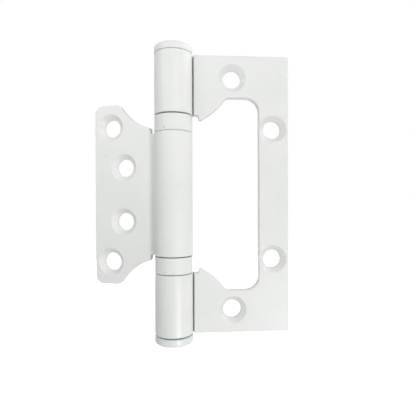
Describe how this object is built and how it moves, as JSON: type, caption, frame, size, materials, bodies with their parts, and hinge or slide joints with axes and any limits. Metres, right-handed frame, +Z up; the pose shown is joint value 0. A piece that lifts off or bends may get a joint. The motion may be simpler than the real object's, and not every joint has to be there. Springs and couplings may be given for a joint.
{
  "type": "flush hinge",
  "caption": "White coated steel flush door hinge: the inner leaf turns about a ball-bearing barrel and closes into the window of the outer leaf.",
  "frame": {"origin": "on the pin's axis, at the middle of the outer leaf's height", "axes": "+Z up along the pin, +X along the outer leaf towards its free edge, +Y out of the outer leaf's seating face, so its countersunk face looks along -Y"},
  "size_m": [0.0711, 0.0169, 0.106],
  "materials": {
    "white_coat": "satin",
    "pin_steel": "ground",
    "bearing_steel": "polished",
    "cage_plastic": "matt"
  },
  "bodies": {
    "outer_leaf": {"outer_leaf": "white_coat", "hinge_pin": "pin_steel", "top_cap": "white_coat", "bottom_cap": "white_coat", "upper_bearing_shell": "white_coat", "upper_fixed_race": "bearing_steel", "lower_bearing_shell": "white_coat", "lower_fixed_race": "bearing_steel"},
    "inner_leaf": {"inner_leaf": "white_coat", "upper_turning_race": "bearing_steel", "lower_turning_race": "bearing_steel"},
    "upper_balls": {"upper_ball_cage": "cage_plastic", "upper_ball_1": "bearing_steel", "upper_ball_2": "bearing_steel", "upper_ball_3": "bearing_steel", "upper_ball_4": "bearing_steel", "upper_ball_5": "bearing_steel", "upper_ball_6": "bearing_steel", "upper_ball_7": "bearing_steel", "upper_ball_8": "bearing_steel", "upper_ball_9": "bearing_steel", "upper_ball_10": "bearing_steel", "upper_ball_11": "bearing_steel", "upper_ball_12": "bearing_steel"},
    "lower_balls": {"lower_ball_cage": "cage_plastic", "lower_ball_1": "bearing_steel", "lower_ball_2": "bearing_steel", "lower_ball_3": "bearing_steel", "lower_ball_4": "bearing_steel", "lower_ball_5": "bearing_steel", "lower_ball_6": "bearing_steel", "lower_ball_7": "bearing_steel", "lower_ball_8": "bearing_steel", "lower_ball_9": "bearing_steel", "lower_ball_10": "bearing_steel", "lower_ball_11": "bearing_steel", "lower_ball_12": "bearing_steel"}
  },
  "joints": [
    {"name": "leaf_swing", "type": "hinge", "parent": "outer_leaf", "child": "inner_leaf", "pos_m": [0, 0, 0], "axis": [0, 0, 1], "range_deg": [-73.1, 196.9]},
    {"name": "upper_balls_roll", "type": "hinge", "parent": "outer_leaf", "child": "upper_balls", "pos_m": [0, 0, 0], "axis": [0, 0, 1], "range_deg": [-36.6, 98.5]},
    {"name": "lower_balls_roll", "type": "hinge", "parent": "outer_leaf", "child": "lower_balls", "pos_m": [0, 0, 0], "axis": [0, 0, 1], "range_deg": [-36.6, 98.5]}
  ],
  "couplings": [
    {"joint": "upper_balls_roll", "follows": "leaf_swing", "ratio": 0.5},
    {"joint": "lower_balls_roll", "follows": "leaf_swing", "ratio": 0.5}
  ]
}
